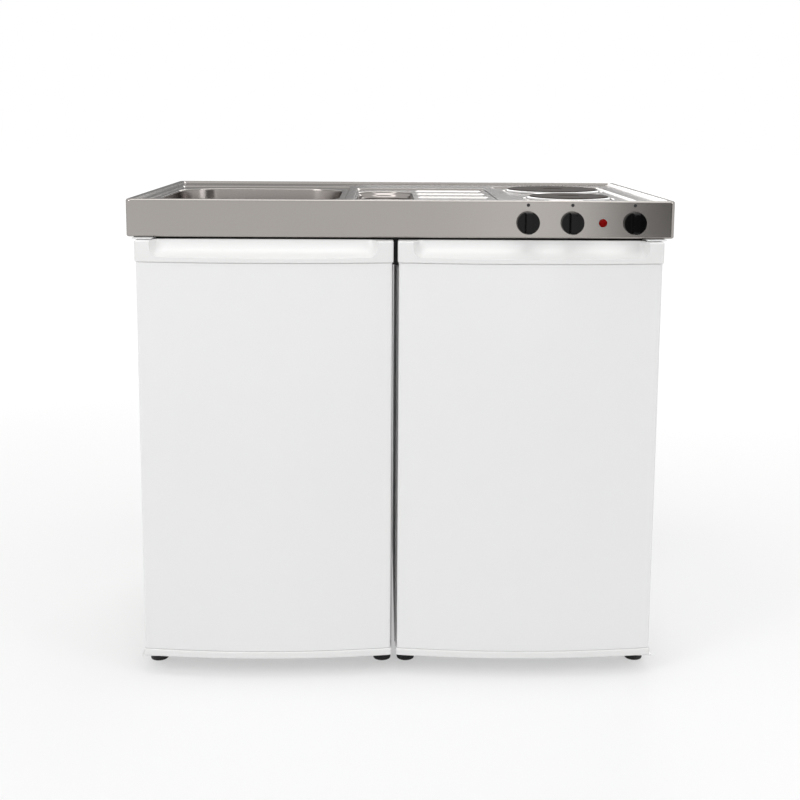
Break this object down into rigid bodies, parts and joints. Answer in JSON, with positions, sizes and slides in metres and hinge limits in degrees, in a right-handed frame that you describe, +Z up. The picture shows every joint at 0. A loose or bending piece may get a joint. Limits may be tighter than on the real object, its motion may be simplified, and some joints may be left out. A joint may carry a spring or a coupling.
{
  "type": "kitchenette unit with sink, hob and refrigerator",
  "caption": "Compact kitchenette: pressed stainless worktop with sink, side bowl, drainer and electric hot plates over a sink cabinet and a built-under refrigerator with matching bowed doors.",
  "frame": {"origin": "on the floor, below the middle of the object's outer box", "axes": "+Z up; -Y is the front, where the doors and knobs are; +X is to the right as seen from the front, towards the refrigerator and the hob"},
  "size_m": [1, 0.639, 0.9],
  "materials": {
    "stainless": "satin brushed stainless steel",
    "chrome": "polished",
    "cast_iron": "matt, seasoned grey-black",
    "galvanised": "dull galvanised sheet",
    "black_steel": "satin black paint",
    "black_plastic": "gloss black",
    "red_lens": "clear red lens",
    "white_steel": "smooth white enamel",
    "white_plastic": "smooth white moulding",
    "white_board": "white melamine-faced board",
    "grey_seal": "soft grey gasket",
    "grey_plastic": "matt grey",
    "glass": "clear toughened glass",
    "clear_plastic": "clear moulding",
    "aluminium": "satin"
  },
  "bodies": {
    "unit": {"worktop": "stainless", "sink_bowl": "stainless", "side_bowl": "stainless", "sink_waste": "chrome", "rear_spill_ring": "chrome", "front_spill_ring": "chrome", "rear_hotplate": "cast_iron", "front_hotplate": "cast_iron", "rear_clamp": "galvanised", "front_clamp": "galvanised", "hob_tray": "galvanised", "compressor_tray": "galvanised", "support_frame": "black_steel", "compressor": "black_steel", "condenser": "black_steel", "cabinet_foot_front_left": "black_plastic", "cabinet_foot_front_right": "black_plastic", "fridge_foot_front_left": "black_plastic", "fridge_foot_front_right": "black_plastic", "pilot_lamp": "red_lens", "fridge_case": "white_steel", "left_top_hinge": "white_steel", "right_top_hinge": "white_steel", "left_bottom_hinge": "white_steel", "right_bottom_hinge": "white_steel", "trap_body": "white_plastic", "trap_cup": "white_plastic", "fridge_liner": "white_plastic", "thermostat_housing": "white_plastic", "cabinet_left_side": "white_board", "cabinet_right_side": "white_board", "cabinet_floor": "white_board", "cabinet_shelf": "white_board", "cabinet_back": "white_board", "side_waste_pipe": "grey_plastic", "rear_plate_switch": "grey_plastic", "front_plate_switch": "grey_plastic", "timer_switch": "grey_plastic", "lower_shelf": "glass", "upper_shelf": "glass", "ice_box": "aluminium"},
    "left_door": {"left_door_panel": "white_steel", "left_door_top_cap": "white_plastic", "left_door_bottom_cap": "white_plastic", "left_door_liner": "white_plastic"},
    "right_door": {"right_door_panel": "white_steel", "right_door_top_cap": "white_plastic", "right_door_bottom_cap": "white_plastic", "right_door_seal": "grey_seal", "right_door_liner": "white_plastic", "bottle_rack": "clear_plastic", "upper_rack": "clear_plastic"},
    "rear_plate_knob": {"rear_plate_knob": "black_plastic"},
    "front_plate_knob": {"front_plate_knob": "black_plastic"},
    "timer_knob": {"timer_knob": "black_plastic"},
    "basket_strainer": {"basket_strainer": "chrome"},
    "crisper_drawer": {"crisper_drawer": "clear_plastic"},
    "ice_box_flap": {"ice_box_flap": "clear_plastic"},
    "thermostat_dial": {"thermostat_dial": "grey_plastic"}
  },
  "joints": [
    {"name": "left_door_hinge", "type": "hinge", "parent": "unit", "child": "left_door", "pos_m": [-0.469, -0.2805, 0], "axis": [0, 0, -1], "range_deg": [0, 110]},
    {"name": "right_door_hinge", "type": "hinge", "parent": "unit", "child": "right_door", "pos_m": [0.465, -0.2805, 0], "axis": [0, 0, 1], "range_deg": [0, 110]},
    {"name": "rear_plate_knob_turn", "type": "hinge", "parent": "unit", "child": "rear_plate_knob", "pos_m": [0.231, -0.2805, 0.8595], "axis": [0, 1, 0], "continuous": true},
    {"name": "front_plate_knob_turn", "type": "hinge", "parent": "unit", "child": "front_plate_knob", "pos_m": [0.312, -0.2805, 0.8595], "axis": [0, 1, 0], "continuous": true},
    {"name": "timer_knob_turn", "type": "hinge", "parent": "unit", "child": "timer_knob", "pos_m": [0.426, -0.2805, 0.8595], "axis": [0, 1, 0], "range_deg": [0, 330]},
    {"name": "basket_strainer_lift", "type": "slide", "parent": "unit", "child": "basket_strainer", "axis": [0, 0, 1], "range_m": [0, 0.04]},
    {"name": "crisper_slide", "type": "slide", "parent": "unit", "child": "crisper_drawer", "axis": [0, -1, 0], "range_m": [0, 0.045]},
    {"name": "ice_box_flap_hinge", "type": "hinge", "parent": "unit", "child": "ice_box_flap", "pos_m": [0.236, -0.1145, 0.7284], "axis": [-1, 0, 0], "range_deg": [0, 90]},
    {"name": "thermostat_turn", "type": "hinge", "parent": "unit", "child": "thermostat_dial", "pos_m": [0.411, -0.0915, 0.5764], "axis": [1, 0, 0], "range_deg": [0, 300]}
  ]
}
